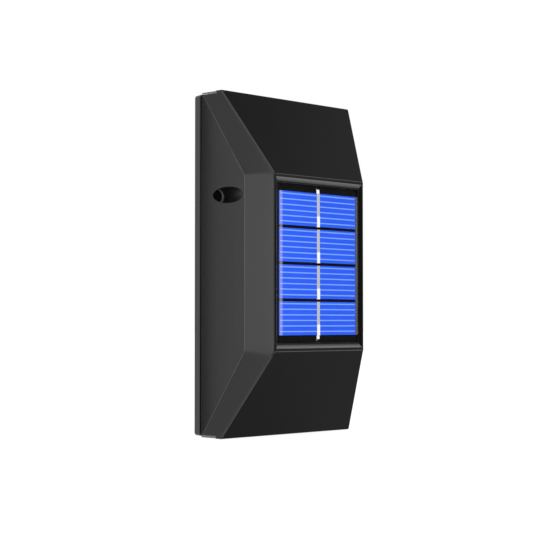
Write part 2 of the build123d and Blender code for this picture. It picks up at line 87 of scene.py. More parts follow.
camera_data = bpy.data.cameras.new("photo_camera")
camera_data.lens = lens_length
camera_data.shift_y = lens_shift
camera_data.clip_start = nearest_seen
camera = bpy.data.objects.new("photo_camera", camera_data)
camera.location = camera_place
camera.rotation_euler = (math.pi / 2 + camera_tilt, 0, -camera_turn)
bpy.context.scene.collection.objects.link(camera)
bpy.context.scene.camera = camera
bpy.context.scene.view_settings.view_transform = "Standard"
print("camera stands", round(camera_place.length, 3), "m from the middle of the back cover")

# %% [markdown]
# ## Studio
# The object stands on a pale floor in front of plain white. The world is white where the camera, a reflection or
# clear plastic looks at it, and a softer grey where it only lights the object. A second way would be a lit white
# backdrop, but that would light the black plastic from everywhere.

# %% World
ambient = 0.5

world = bpy.data.worlds.new("studio")
bpy.context.scene.world = world
world.use_nodes = True
world_nodes, world_links = world.node_tree.nodes, world.node_tree.links
world_nodes.clear()
rays = world_nodes.new("ShaderNodeLightPath")
seen = rays.outputs["Is Camera Ray"]
for kind in ("Is Glossy Ray", "Is Transmission Ray"):
    larger = world_nodes.new("ShaderNodeMath")
    larger.operation = "MAXIMUM"
    world_links.new(seen, larger.inputs[0])
    world_links.new(rays.outputs[kind], larger.inputs[1])
    seen = larger.outputs[0]
lighting = world_nodes.new("ShaderNodeBackground")
lighting.inputs["Color"].default_value = (ambient, ambient, ambient, 1)
backdrop = world_nodes.new("ShaderNodeBackground")
backdrop.inputs["Color"].default_value = (1, 1, 1, 1)
either = world_nodes.new("ShaderNodeMixShader")
world_output = world_nodes.new("ShaderNodeOutputWorld")
world_links.new(seen, either.inputs[0])
world_links.new(lighting.outputs[0], either.inputs[1])
world_links.new(backdrop.outputs[0], either.inputs[2])
world_links.new(either.outputs[0], world_output.inputs["Surface"])
print("the world lights at", ambient)

# %% [markdown]
# A few helpers save repeating the same calls. The first turns a finished bmesh into an object at the origin. The
# second drops the shading that a copied mesh brings along, shades the piece smooth and lets its large faces keep
# their own direction, which a broken edge needs. The third starts a material with its one Principled shader.

# %% Helpers for meshes
def mesh_object(name, shape):
    mesh = bpy.data.meshes.new(name)
    shape.to_mesh(mesh)
    shape.free()
    made = bpy.data.objects.new(name, mesh)
    bpy.context.scene.collection.objects.link(made)
    return made


def soften(piece, limit=math.radians(45), keep=()):
    inherited = piece.data.attributes.get("custom_normal")
    if inherited:
        piece.data.attributes.remove(inherited)
    piece.data.shade_smooth()
    piece.data.set_sharp_from_angle(angle=limit)
    for index in keep:
        piece.data.edges[index].use_edge_sharp = True
    weighted = piece.modifiers.new("large faces stay flat", "WEIGHTED_NORMAL")
    weighted.keep_sharp = True


def plain_material(name):
    material = bpy.data.materials.new(name)
    material.use_nodes = True
    return material, material.node_tree.nodes["Principled BSDF"]


print("helpers ready")

# %% [markdown]
# The floor is a wide sheet under the light. Seen by the camera it glows almost white, so that it meets the white
# behind it without a line, and the light's soft shadow still falls on it. Reflections and lamps pass through it, so
# the upper and the lower half of the body see the same room.

# %% Floor
floor_half = 3.0
floor_gap = 0.2 * mm
floor_grey = 0.2
floor_glow = 0.9

shape = bmesh.new()
bmesh.ops.create_grid(shape, x_segments=1, y_segments=1, size=floor_half)
bmesh.ops.translate(shape, verts=shape.verts, vec=(0, 0, cad_low.z - floor_gap))
floor = mesh_object("floor", shape)
floor.visible_glossy = False
floor.visible_shadow = False
floor_paint, floor_shader = plain_material("pale floor")
floor_shader.inputs["Base Color"].default_value = (floor_grey, floor_grey, floor_grey, 1)
floor_shader.inputs["Roughness"].default_value = 0.9
floor_shader.inputs["Emission Color"].default_value = (floor_glow, floor_glow, floor_glow, 1)
floor_rays = floor_paint.node_tree.nodes.new("ShaderNodeLightPath")
floor_paint.node_tree.links.new(floor_rays.outputs["Is Camera Ray"], floor_shader.inputs["Emission Strength"])
floor.data.materials.append(floor_paint)
floor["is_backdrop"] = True
print("floor at", round(cad_low.z / mm, 1), "mm")

# %% [markdown]
# A black product is photographed inside dark cards, called flags, that keep the white room out of its reflections.
# Here one large bowl-shaped flag stands round the front and the right. Only reflections meet it. A slot on each side
# lets some of the room in, for the edges and for a look at the light from the left or the right. A slot is given by
# the turns where it starts and stops, in degrees to the right of the front, and by its half height.

# %% Flag
flag_radius = 3.0
flag_turn = math.radians(6)
flag_facing = Vector((math.sin(flag_turn), -math.cos(flag_turn), 0))
flag_edge = -0.2 * flag_radius
slots = ((-80, -42, 0.75 * flag_radius), (80, 104, 0.3 * flag_radius))


def in_slot(point):
    turn = math.degrees(math.atan2(point.x, -point.y))
    return any(start < turn < stop and abs(point.z) < half for start, stop, half in slots)


shape = bmesh.new()
bmesh.ops.create_uvsphere(shape, u_segments=48, v_segments=24, radius=flag_radius)
everything = shape.verts[:] + shape.edges[:] + shape.faces[:]
bmesh.ops.bisect_plane(shape, geom=everything, plane_co=flag_facing * flag_edge, plane_no=flag_facing,
                       clear_inner=True)
opened = [f for f in shape.faces if in_slot(f.calc_center_median())]
bmesh.ops.delete(shape, geom=opened, context="FACES")
flag = mesh_object("flag", shape)
flag.visible_camera = False
flag.visible_diffuse = False
flag.visible_transmission = False
flag.visible_shadow = False
flag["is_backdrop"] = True
print("flag has", len(flag.data.polygons), "faces")

# %% [markdown]
# The flag is nearly black at the height of the object and lighter towards its top and bottom, which the two slopes
# mirror. Its paint gives off this light by itself. A colour ramp reads the height as a share of the radius.

# %% Flag paint
flag_glow = 0.30

flag_paint, flag_shader = plain_material("dark card")
flag_shader.inputs["Base Color"].default_value = (0, 0, 0, 1)
flag_shader.inputs["Specular IOR Level"].default_value = 0
flag_nodes, flag_links = flag_paint.node_tree.nodes, flag_paint.node_tree.links
flag_place = flag_nodes.new("ShaderNodeTexCoord")
flag_axes = flag_nodes.new("ShaderNodeSeparateXYZ")
flag_height = flag_nodes.new("ShaderNodeMath")
flag_height.operation = "ABSOLUTE"
flag_share = flag_nodes.new("ShaderNodeMath")
flag_share.operation = "DIVIDE"
flag_share.inputs[1].default_value = flag_radius
flag_ramp = flag_nodes.new("ShaderNodeValToRGB")
steps = flag_ramp.color_ramp.elements
steps[0].position, steps[0].color = 0.15, (0.1, 0.1, 0.1, 1)
steps[1].position, steps[1].color = 0.7, (1, 1, 1, 1)
steps.new(0.8).color = (0.5, 0.5, 0.5, 1)
flag_links.new(flag_place.outputs["Object"], flag_axes.inputs[0])
flag_links.new(flag_axes.outputs["Z"], flag_height.inputs[0])
flag_links.new(flag_height.outputs[0], flag_share.inputs[0])
flag_links.new(flag_share.outputs[0], flag_ramp.inputs["Fac"])
flag_links.new(flag_ramp.outputs["Color"], flag_shader.inputs["Emission Color"])
flag_shader.inputs["Emission Strength"].default_value = flag_glow
flag.data.materials.append(flag_paint)
print("flag paint has", len(steps), "steps")

# %% [markdown]
# On a wall the two screw holes end in the dark. Here nothing stands behind the light, so a small card of the same
# dark paint closes each hole for reflections, just behind the back cover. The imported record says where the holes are.

# %% Cards behind the screw holes
screws = next(mount for mount in frame["record"]["mounts"] if mount["name"] == "wall_screws")
hole_x = screws["dims"]["spacing_x_mm"] * mm / 2
hole_z = screws["pos_m"][2]
hole_radius = screws["dims"]["hole_r_mm"] * mm
card_radius = 4 * mm
card_gap = 0.5 * mm

shape = bmesh.new()
for x in (-hole_x, hole_x):
    disc = bmesh.ops.create_circle(shape, cap_ends=True, segments=24, radius=card_radius)
    bmesh.ops.rotate(shape, verts=disc["verts"], cent=(0, 0, 0), matrix=Matrix.Rotation(math.pi / 2, 3, "X"))
    bmesh.ops.translate(shape, verts=disc["verts"], vec=(x, cad_high.y + card_gap, hole_z))
cards = mesh_object("hole_cards", shape)
cards.visible_camera = False
cards.visible_diffuse = False
cards.visible_shadow = False
cards.data.materials.append(flag_paint)
cards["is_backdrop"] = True
print(len(cards.data.polygons), "cards")

# %% [markdown]
# Soft lamps stand in front of the flag. A small one with a grid, which lets light out straight ahead only, brightens
# the upright face beside the window and leaves its neighbours to the white room, and a second one draws the near
# edge of the window. A tall strip shades the slanted side, and a narrow one further away draws its creases. Strips
# on the right, above and below, catch the bevels of the window and fade towards the middle. Lamps high and low draw
# the long edges, and a large lamp, which nothing mirrors, fills the colours.

# %% Lamps
middle = (cad_low + cad_high) / 2
cheek = Vector((-22, -24, 0)) * mm
window_edge = Vector((-19.5, -29.8, 0)) * mm
strip_turn, strip_away, strip_width = 41, 0.63, 0.35


def soft_lamp(name, turn, rise, away, width, height, radiance, target=middle, grid=90):
    """A rectangular lamp, away metres from its target: turned from the front to the right, and raised, in degrees.

    Its radiance is the brightness that a mirror would show. It sends no light further aside than the grid's angle.
    """
    turn, rise, grid = math.radians(turn), math.radians(rise), math.radians(grid)
    way = Vector((math.sin(turn) * math.cos(rise), -math.cos(turn) * math.cos(rise), math.sin(rise)))
    data = bpy.data.lights.new(name, "AREA")
    data.shape = "RECTANGLE"
    data.size, data.size_y = width, height
    data.spread = 2 * grid
    gain = math.tan(grid) / (math.tan(grid) - grid)
    data.energy = radiance * math.pi * width * height / gain
    lamp = bpy.data.objects.new(name, data)
    lamp.visible_camera = False
    facing = way.to_track_quat("Z", "Y").to_matrix().to_4x4()
    lamp.matrix_world = Matrix.Translation(target + way * away) @ facing
    bpy.context.scene.collection.objects.link(lamp)
    return lamp


lamps = {lamp.name: lamp for lamp in (
    soft_lamp("cheek_lamp", -106.5, 3, 0.008, 0.014, 0.060, 1.02, target=cheek, grid=20),
    soft_lamp("edge_lamp", -25, 3, 0.030, 0.02, 0.062, 2.0, target=window_edge, grid=20),
    soft_lamp("side_strip", -83.5, 0, 0.111, 0.036, 0.3, 1.24),
    soft_lamp("crease_strip", -97, 3, 1.0, 0.05, 0.35, 5.5),
    soft_lamp("rear_side_lamp", -146, 0, 1.0, 0.5, 0.6, 0.1),
    soft_lamp("front_lamp", -39, 0, 1.0, 0.8, 0.8, 2.5),
    soft_lamp("top_lamp", -8, 52, 0.8, 0.4, 0.3, 4.0),
    soft_lamp("under_lamp", 2, -48, 0.8, 0.4, 0.3, 4.0),
)}
lamps["front_lamp"].visible_glossy = False
for name, rise, height, radiance in (
    ("upper_strip", 30, 0.09, 4.0), ("upper_half_strip", 22, 0.09, 2.2), ("upper_faint_strip", 14, 0.08, 1.0),
    ("lower_strip", -28, 0.13, 4.0), ("lower_half_strip", -17, 0.09, 2.6), ("lower_faint_strip", -9, 0.08, 1.4),
):
    lamps[name] = soft_lamp(name, strip_turn, rise, strip_away, strip_width, height, radiance)
print(", ".join(lamps))

# %% [markdown]
# ## Finishes
# Every finish is one Principled shader, fed by a few nodes that read the place on the piece in metres. A small class
# keeps the node calls short. Its methods are the words of the lesson: noise, ramp, blend, mask, colour, roughness,
# bump.

# %% Helpers for materials
class Finish:
    """A material whose shader is fed by short calls. Keywords set sockets, with _ for each space in their names."""

    def __init__(self, name, **sockets):
        self.material, self.shader = plain_material(name)
        self.tree = self.material.node_tree
        for socket, value in sockets.items():
            self.shader.inputs[socket.replace("_", " ")].default_value = value
        self.place = self.node("ShaderNodeTexCoord").outputs["Object"]

    def node(self, kind, **settings):
        made = self.tree.nodes.new(kind)
        for key, value in settings.items():
            setattr(made, key, value)
        return made

    def feed(self, target, value):
        """Links an output to a socket, or sets the socket to a number or colour."""
        if isinstance(value, bpy.types.NodeSocket):
            self.tree.links.new(value, target)
        else:
            target.default_value = value

    def math(self, operation, *values):
        made = self.node("ShaderNodeMath", operation=operation)
        for target, value in zip(made.inputs, values):
            self.feed(target, value)
        return made.outputs[0]

    def noise(self, size, detail=2.0):
        """Soft noise whose lumps are about this size in metres."""
        made = self.node("ShaderNodeTexNoise")
        self.feed(made.inputs["Vector"], self.place)
        made.inputs["Scale"].default_value = 1 / size
        made.inputs["Detail"].default_value = detail
        return made.outputs["Fac"]

    def bubbles(self, size):
        """The distance to the nearest of many scattered points, as in foam."""
        made = self.node("ShaderNodeTexVoronoi")
        self.feed(made.inputs["Vector"], self.place)
        made.inputs["Scale"].default_value = 1 / size
        return made.outputs["Distance"]

    def ramp(self, value, low, high, start=0.3, stop=0.7):
        """Spreads the values from start to stop between two numbers."""
        made = self.node("ShaderNodeMapRange")
        self.feed(made.inputs["Value"], value)
        for key, number in (("From Min", start), ("From Max", stop), ("To Min", low), ("To Max", high)):
            made.inputs[key].default_value = number
        return made.outputs["Result"]

    def blend(self, share, under, over):
        """Mixes two colours by a share."""
        made = self.node("ShaderNodeMix", data_type="RGBA")
        self.feed(made.inputs["Factor"], share)
        self.feed(made.inputs["A"], under)
        self.feed(made.inputs["B"], over)
        return made.outputs["Result"]

    def axis(self, letter):
        made = self.node("ShaderNodeSeparateXYZ")
        self.feed(made.inputs[0], self.place)
        return made.outputs[letter]

    def off(self, letter, middle):
        """The distance from a plane square to an axis."""
        return self.math("ABSOLUTE", self.math("SUBTRACT", self.axis(letter), middle))

    def diagonal(self, first, second):
        """The distance that two distances at right angles make up."""
        squares = [self.math("POWER", value, 2) for value in (first, second)]
        return self.math("SQRT", self.math("ADD", *squares))

    def mask(self, value, edge, blur=0.03 * mm):
        """1 where the value is under the edge, and 0 past it."""
        return self.ramp(value, 1, 0, edge - blur, edge + blur)

    def colour(self, value):
        self.feed(self.shader.inputs["Base Color"], value)

    def roughness(self, value):
        self.feed(self.shader.inputs["Roughness"], value)

    def metal(self, value):
        self.feed(self.shader.inputs["Metallic"], value)

    def bump(self, height, depth):
        """Raises the surface by depth metres where height is 1."""
        made = self.node("ShaderNodeBump")
        made.inputs["Strength"].default_value = 1.0
        made.inputs["Distance"].default_value = depth
        self.feed(made.inputs["Height"], height)
        self.feed(self.shader.inputs["Normal"], made.outputs["Normal"])


def grey(value):
    return (value, value, value, 1)


def dress(finish, *names):
    """Gives CAD nodes their finish."""
    for name in names:
        frame["nodes"][name].material_slots[0].material = finish.material
    print(finish.material.name, "on", ", ".join(names))


# %% [markdown]
# ## Black plastic
# Housing and cover are injection moulded in black plastic. A mould that was blasted with fine grit leaves a satin
# grain: it could be modelled, but a bump of about a thousandth of a millimetre is all that it is, so noise is enough.
# Its gloss changes a little over the grain, and its black over a few millimetres. Pins that shape the screw bores
# are left coarser. The seats at their bottom are painted a lighter grey: a painted highlight that stands in for the
# light arc that their edges catch.

# %% Black plastic
bore_wall = 2.8 * mm
bore_skin, bore_blur = 0.05 * mm, 0.02 * mm
bore_dulling = 0.25
seat_depth = -6.5 * mm
seat_break = 0.3 * mm
# The lighter grey of the seats is a painted highlight.
seat_highlight_grey = 0.1
grain_depth = 0.0008 * mm

black = Finish("moulded black plastic", Specular_IOR_Level=0.42)
from_axis = black.math("SUBTRACT", black.math("ABSOLUTE", black.axis("X")), hole_x)
off_bore_axis = black.diagonal(from_axis, black.off("Z", hole_z))
off_wall = black.math("ABSOLUTE", black.math("SUBTRACT", off_bore_axis, bore_wall))
in_bore = black.mask(off_wall, bore_skin, bore_blur)
# The seat at the bottom of each bore is painted lighter grey: a painted highlight for the light arc it catches.
at_seat = black.mask(black.off("Y", seat_depth), seat_break)
painted_seat_highlight = black.math("MULTIPLY", black.mask(off_bore_axis, bore_wall), at_seat)
moulded = black.blend(black.noise(6 * mm), grey(0.0035), grey(0.0045))
black.colour(black.blend(painted_seat_highlight, moulded, grey(seat_highlight_grey)))
satin = black.ramp(black.noise(0.4 * mm, detail=4), 0.15, 0.19)
black.roughness(black.math("MULTIPLY_ADD", in_bore, bore_dulling, satin))
black.bump(black.noise(0.25 * mm, detail=3), grain_depth)
dress(black, "back_cover")

# %% [markdown]
# ## Housing
# The housing's corners are rounded in the CAD model, but a mould breaks the small edges too. Two helpers do the
# work. The first copies a CAD mesh and merges its doubled points, so that its faces know their neighbours, and joins
# the coplanar triangles. The second bevels a list of edges.

# %% Helpers for edges
merge_distance = 0.001 * mm
flat_angle = math.radians(0.2)


def merged_copy(node):
    shape = bmesh.new()
    shape.from_mesh(frame["nodes"][node].data)
    bmesh.ops.remove_doubles(shape, verts=shape.verts, dist=merge_distance)
    bmesh.ops.dissolve_limit(shape, angle_limit=flat_angle, verts=shape.verts, edges=shape.edges)
    return shape


def bevel(shape, edges, width, segments):
    bmesh.ops.bevel(shape, geom=edges, offset=width, offset_type="OFFSET", affect="EDGES", segments=segments,
                    profile=0.5, material=-1)


print("edge helpers ready")

# %% [markdown]
# Each group of edges is found by its place: round the window, at the mouths of the screw bores, round the holes in
# their seats, along the rear and in the creases of the sides. A function for each place says whether a point lies
# there.

# %% Places of edges
window_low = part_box("panel_board")[0]
cover_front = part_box("back_seal")[0].y
bore_axis = Vector((hole_x, hole_z))
bore_slack = 0.1 * mm
bore_start = seat_depth - 0.2 * mm
rear_side = 31 * mm
plane_slack = 0.01 * mm


def off_bore(point):
    return (Vector((abs(point.x), point.z)) - bore_axis).length


def round_window(point):
    return point.y < window_low.y


def round_bore(point):
    return point.y < bore_start and abs(off_bore(point) - bore_wall) < bore_slack


def round_seat(point):
    return abs(point.y - seat_depth) < plane_slack and off_bore(point) < hole_radius + bore_slack


def along_rear(point):
    return point.y > cover_front - plane_slack and abs(point.x) > rear_side


def along_creases(point):
    return point.y > window_low.y


print("places ready, with the window's floor at", round(window_low.y / mm, 2), "mm")

# %% [markdown]
# One bevel for each place then runs along its edges. The window's mitres, where two bevels meet, stay sharp.

# %% Housing
window_break = 0.12 * mm
bore_break = 0.1 * mm
rear_break = 0.15 * mm
crease_round = 0.25 * mm
off_square = 0.02 * mm


def break_edges(shape, place, width, least=20, most=180):
    """Bevels the edges that bend by so many degrees, outwards or (below 0) inwards, with both ends in a place."""
    least, most = math.radians(least), math.radians(most)
    bent = [e for e in shape.edges if least < e.calc_face_angle_signed() < most]
    edges = [e for e in bent if all(place(v.co) for v in e.verts)]
    bevel(shape, edges, width, segments=3)
    print(place.__name__, len(edges), "edges broken")


def is_mitre(edge):
    """True for an edge of the window that runs along no axis."""
    run = edge.verts[1].co - edge.verts[0].co
    return all(round_window(v.co) for v in edge.verts) and min(abs(run.x), abs(run.z)) > off_square


shape = merged_copy("housing")
break_edges(shape, round_window, window_break)
break_edges(shape, round_bore, bore_break)
break_edges(shape, round_seat, seat_break)
break_edges(shape, along_rear, rear_break)
break_edges(shape, along_creases, crease_round, least=-14, most=-9)
bmesh.ops.recalc_face_normals(shape, faces=shape.faces)
shape.edges.index_update()
mitres = [e.index for e in shape.edges if is_mitre(e)]
housing = mesh_object("moulded_housing", shape)
soften(housing, keep=mitres)
housing.data.materials.append(black.material)
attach(housing, "light")
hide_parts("housing")
print("housing has", len(housing.data.polygons), "faces and", len(mitres), "mitre edges")

# %% [markdown]
# ## Seal
# A flat rubber ring keeps rain out of the gap between housing and cover. From outside it is only a dark line. Rubber
# is dull and a little uneven, so it gets a high roughness and a soft bump.

# %% Seal
rubber = Finish("seal rubber")
rubber.colour(rubber.blend(rubber.noise(1 * mm), grey(0.008), grey(0.016)))
rubber.roughness(rubber.ramp(rubber.noise(0.5 * mm), 0.7, 0.85))
rubber.bump(rubber.noise(0.3 * mm), 0.01 * mm)
dress(rubber, "back_seal")

# %% [markdown]
# ## Lenses
# The lenses are clear plastic with a fine frost that spreads the light of the diodes. Most of the light goes
# through, and the frost is a high roughness. A small share is scattered at the surface, which keeps the edges pale
# before the dark inside and the picture free of noise.

# %% Lenses
frosted = Finish("frosted lens plastic", Transmission_Weight=0.85, IOR=1.49)
frosted.colour(frosted.blend(frosted.noise(3 * mm), (0.55, 0.58, 0.60, 1), (0.63, 0.66, 0.68, 1)))
frosted.roughness(frosted.ramp(frosted.noise(0.3 * mm, detail=4), 0.45, 0.6))
frosted.bump(frosted.noise(0.2 * mm, detail=3), 0.01 * mm)
dress(frosted, "upper_lens", "lower_lens")

# %% [markdown]
# ## Solar cells
# Each cell is a blue slice of silicon with thin printed fingers across it and one wide busbar down its middle. The
# print has no height to speak of, so it is drawn in the material: the height on a cell is folded by a ping-pong,
# which gives the distance to the nearest finger. The cells lie under resin, so their only gloss is that of a clear
# coat.

# %% Solar cells
cell_low, cell_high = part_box("solar_cell_1")
next_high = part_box("solar_cell_2")[1]
cell_pitch = cell_high.z - next_high.z
cell_half = (cell_high.x - cell_low.x) / 2
finger_first = 0.78 * mm
finger_spacing = 1.89 * mm
finger_half = 0.2 * mm
finger_inset = 0.3 * mm
finger_count = 6
busbar_half = 0.64 * mm
print_blur = 0.06 * mm
deep_blue, light_blue = (0.024, 0.100, 0.80, 1), (0.034, 0.122, 0.88, 1)
finger_blue = (0.20, 0.37, 0.93, 1)
busbar_grey = (0.50, 0.505, 0.52, 1)
under_resin = {"Specular_IOR_Level": 0.0, "Coat_Weight": 1.0, "Coat_Roughness": 0.05}

silicon = Finish("blue silicon", **under_resin)
across = silicon.math("ABSOLUTE", silicon.axis("X"))
rows = silicon.math("DIVIDE", silicon.math("SUBTRACT", cell_high.z, silicon.axis("Z")), cell_pitch)
down = silicon.math("MULTIPLY", silicon.math("FRACT", rows), cell_pitch)
from_finger = silicon.math("PINGPONG", silicon.math("SUBTRACT", down, finger_first), finger_spacing / 2)
on_finger = silicon.mask(from_finger, finger_half, print_blur)
last_finger = finger_first + (finger_count - 0.5) * finger_spacing
in_rows = silicon.math("LESS_THAN", down, last_finger)
in_width = silicon.math("LESS_THAN", across, cell_half - finger_inset)
on_finger = silicon.math("MULTIPLY", silicon.math("MULTIPLY", on_finger, in_rows), in_width)
on_busbar = silicon.mask(across, busbar_half, print_blur)
blue = silicon.blend(silicon.noise(5 * mm), deep_blue, light_blue)
lined = silicon.blend(on_finger, blue, finger_blue)
silicon.colour(silicon.blend(on_busbar, lined, busbar_grey))
silicon.roughness(silicon.ramp(silicon.noise(0.3 * mm), 0.3, 0.4))
silicon.bump(silicon.math("MAXIMUM", on_finger, on_busbar), 0.01 * mm)
dress(silicon, *[f"solar_cell_{i}" for i in range(1, 5)])

# %% [markdown]
# The ribbons are flat copper wires, tinned white, that join the cells in a row. They are soldered by hand, so their
# tin is uneven: soft noise changes colour and height.

# %% Tin
tinned = Finish("tinned ribbon", **under_resin)
tinned.colour(tinned.blend(tinned.noise(0.6 * mm), grey(0.82), grey(0.95)))
tinned.roughness(tinned.ramp(tinned.noise(0.5 * mm), 0.3, 0.45))
tinned.bump(tinned.noise(0.4 * mm), 0.01 * mm)
print(tinned.material.name, "ready")

# %% [markdown]
# Rolled wire has rounded edges and is a little narrower than the busbar it covers, so the CAD strips are copied,
# drawn in and bevelled. The two tails, which turn down into holes of the board, get a round bend first.

# %% Ribbons
ribbon_share = 0.76
ribbon_edge = 0.05 * mm
ribbon_bend = 0.42 * mm
corner_angle = math.radians(45)
tail_low, tail_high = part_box("end_ribbon")


def at_fold(point):
    """The outer edge where a tail turns down into its hole."""
    return point.y < tail_low.y + plane_slack and abs(point.z) > tail_high.z - plane_slack


for node in [f"cell_ribbon_{i}" for i in range(1, 5)] + ["end_ribbon"]:
    shape = merged_copy(node)
    bmesh.ops.scale(shape, verts=shape.verts, vec=(ribbon_share, 1, 1))
    folds = [e for e in shape.edges if all(at_fold(v.co) for v in e.verts)]
    if folds:
        bevel(shape, folds, ribbon_bend, segments=5)
    corners = [e for e in shape.edges if e.calc_face_angle_signed() > corner_angle]
    bevel(shape, corners, ribbon_edge, segments=2)
    bmesh.ops.recalc_face_normals(shape, faces=shape.faces)
    ribbon = mesh_object(f"soldered_{node}", shape)
    soften(ribbon)
    ribbon.data.materials.append(tinned.material)
    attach(ribbon, "light")
    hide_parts(node)
    print(ribbon.name, len(ribbon.data.polygons), "faces")

# %% [markdown]
# The board under the cells is a black laminate. It shows as the dark margins of the panel and the gaps between
# cells.

# %% Panel board
laminate = Finish("black panel laminate", **under_resin)
laminate.colour(laminate.blend(laminate.noise(1 * mm), grey(0.0045), grey(0.006)))
laminate.roughness(laminate.ramp(laminate.noise(0.3 * mm), 0.5, 0.65))
laminate.bump(laminate.noise(0.3 * mm), 0.01 * mm)
dress(laminate, "panel_board")

# %% [markdown]
# A clear resin is poured over the cells and rounds off at its edges. The glaze is a block whose front edges are
# bevelled round. It ends just before the ribbons.

# %% Glaze
resin_low, resin_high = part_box("panel_resin")
ribbon_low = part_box("cell_ribbon_1")[0]
resin_edge = 0.4 * mm
resin_gap = 0.03 * mm

glaze_size = resin_high - resin_low
glaze_size.y = ribbon_low.y - resin_gap - resin_low.y
glaze_rear = resin_low.y + glaze_size.y
glaze_middle = (resin_high + resin_low) / 2
glaze_middle.y = resin_low.y + glaze_size.y / 2
shape = bmesh.new()
bmesh.ops.create_cube(shape, size=1)
bmesh.ops.scale(shape, verts=shape.verts, vec=glaze_size)
bmesh.ops.translate(shape, verts=shape.verts, vec=glaze_middle)
front_edges = [e for e in shape.edges if all(v.co.y < glaze_middle.y for v in e.verts)]
bevel(shape, front_edges, resin_edge, segments=6)
glaze = mesh_object("clear_glaze", shape)
soften(glaze)
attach(glaze, "light")
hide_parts("panel_resin")
print("glaze", round(glaze_size.y / mm, 2), "mm thick")

# %% [markdown]
# Refraction would show the cells shifted and cost many light paths, so the resin is a thin veil instead: almost
# nothing on the flat, and a pale band along the left and right edges of the cells, a painted highlight for the light
# that the rounded edges of the resin catch. The left band is brighter than the right one. Both bands stand a little
# to the right, and are painted on the rear of the glaze, close to the cells.

# %% Resin
# Width, shift and strength of the painted highlight along the edges of the cells.
highlight_reach = 1.0 * mm
highlight_shift = 0.5 * mm
highlight_left, highlight_right = 0.26, 0.13
veil_least = 0.0005
rear_skin = 0.1 * mm

clear = Finish("clear resin")
clear.colour(clear.blend(clear.noise(2 * mm), grey(0.8), grey(0.9)))
clear.roughness(clear.ramp(clear.noise(2 * mm), 0.03, 0.07))
clear.bump(clear.noise(8 * mm), 0.01 * mm)
# The pale bands at the edges of the cells are a painted highlight, brighter on the left than on the right.
from_middle = clear.off("X", highlight_shift)
from_edge = clear.math("ABSOLUTE", clear.math("SUBTRACT", from_middle, cell_half))
edge_highlight = clear.ramp(from_edge, 1, 0, 0, highlight_reach)
beside_cells = clear.mask(clear.off("Z", 0), cell_high.z)
most = clear.ramp(clear.axis("X"), highlight_left, highlight_right, -cell_half, cell_half)
at_rear = clear.mask(clear.off("Y", glaze_rear), rear_skin)
veil = clear.math("MULTIPLY", clear.math("MULTIPLY", edge_highlight, beside_cells), clear.math("MULTIPLY", most, at_rear))
veil = clear.ramp(veil, veil_least, 1, 0, 1)
clear.feed(clear.shader.inputs["Alpha"], veil)
glaze.data.materials.append(clear.material)
print(clear.material.name, "on", glaze.name)

# %% [markdown]
# ## Foam tapes
# Double-sided foam holds the panel in its pocket and the cell holder on the cover. Foam is full of small bubbles, so
# a Voronoi texture dents it, and the dents are painted darker, a painted shade in the pores.

# %% Foam tapes
foam = Finish("white foam tape")
pores = foam.bubbles(0.35 * mm)
# The darker grey in the dents is painted shade.
foam.colour(foam.blend(foam.ramp(pores, 0, 1, 0.1, 0.6), grey(0.5), grey(0.75)))
foam.roughness(foam.ramp(foam.noise(1 * mm), 0.85, 0.95))
foam.bump(pores, 0.08 * mm)
dress(foam, "panel_tape", "holder_tape")

# %% [markdown]
# ## Circuit boards
# The boards are glass laminate under a green lacquer. Copper lies under the lacquer and shows as a lighter, slightly
# raised green. Tracing every track is not worth it inside a closed box, so noise with a hard step stands for the
# copper.

# %% Circuit boards
board = Finish("green board lacquer")
copper = board.ramp(board.noise(3 * mm, detail=0), 0, 1, 0.5, 0.51)
board.colour(board.blend(copper, (0.006, 0.055, 0.022, 1), (0.014, 0.115, 0.045, 1)))
board.roughness(board.ramp(board.noise(0.5 * mm), 0.25, 0.35))
board.bump(copper, 0.03 * mm)
dress(board, "main_board", "upper_led_board", "lower_led_board")

# %% [markdown]
# Chips, resistors and diodes are black mouldings with tinned ends. One mask per node tells the two apart: past some
# distance from its middle, along one axis, a piece is metal.

# %% Small parts
epoxy_black = grey(0.018)
tin = (0.72, 0.70, 0.66, 1)


def tinned_ends(node, letter, half):
    low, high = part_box(node)
    middle = (low + high) / 2
    index = "XYZ".index(letter)
    finish = Finish(f"{node} moulding")
    body = finish.mask(finish.off(letter, middle[index]), half)
    moulding = finish.blend(finish.noise(0.2 * mm), epoxy_black, grey(0.03))
    finish.colour(finish.blend(body, tin, moulding))
    finish.metal(finish.ramp(body, 1, 0, 0, 1))
    finish.roughness(finish.ramp(finish.noise(0.1 * mm), 0.4, 0.6))
    finish.bump(finish.noise(0.1 * mm), 0.01 * mm)
    dress(finish, node)


tinned_ends("driver_chip", "Z", half=1.96 * mm)
tinned_ends("rectifier_diode", "X", half=1.41 * mm)
tinned_ends("chip_resistors", "X", half=0.7 * mm)

# %% [markdown]
# The inductor is a drum of dark ferrite with copper wire wound between its flanges. The turns are a fold of the
# depth. On the lacquer-coated wire it paints each groove between turns dark brown and each crest bright copper,
# painted shade and painted highlight, and in metres as it is it gives the bump.

# %% Inductor
coil_low, coil_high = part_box("boost_inductor")
flange_thickness = 0.8 * mm
wire_pitch = 0.24 * mm

drum = Finish("ferrite and copper")
coil_half = (coil_high.y - coil_low.y) / 2 - flange_thickness
wound = drum.mask(drum.off("Y", (coil_low.y + coil_high.y) / 2), coil_half)
turns = drum.math("PINGPONG", drum.axis("Y"), wire_pitch / 2)
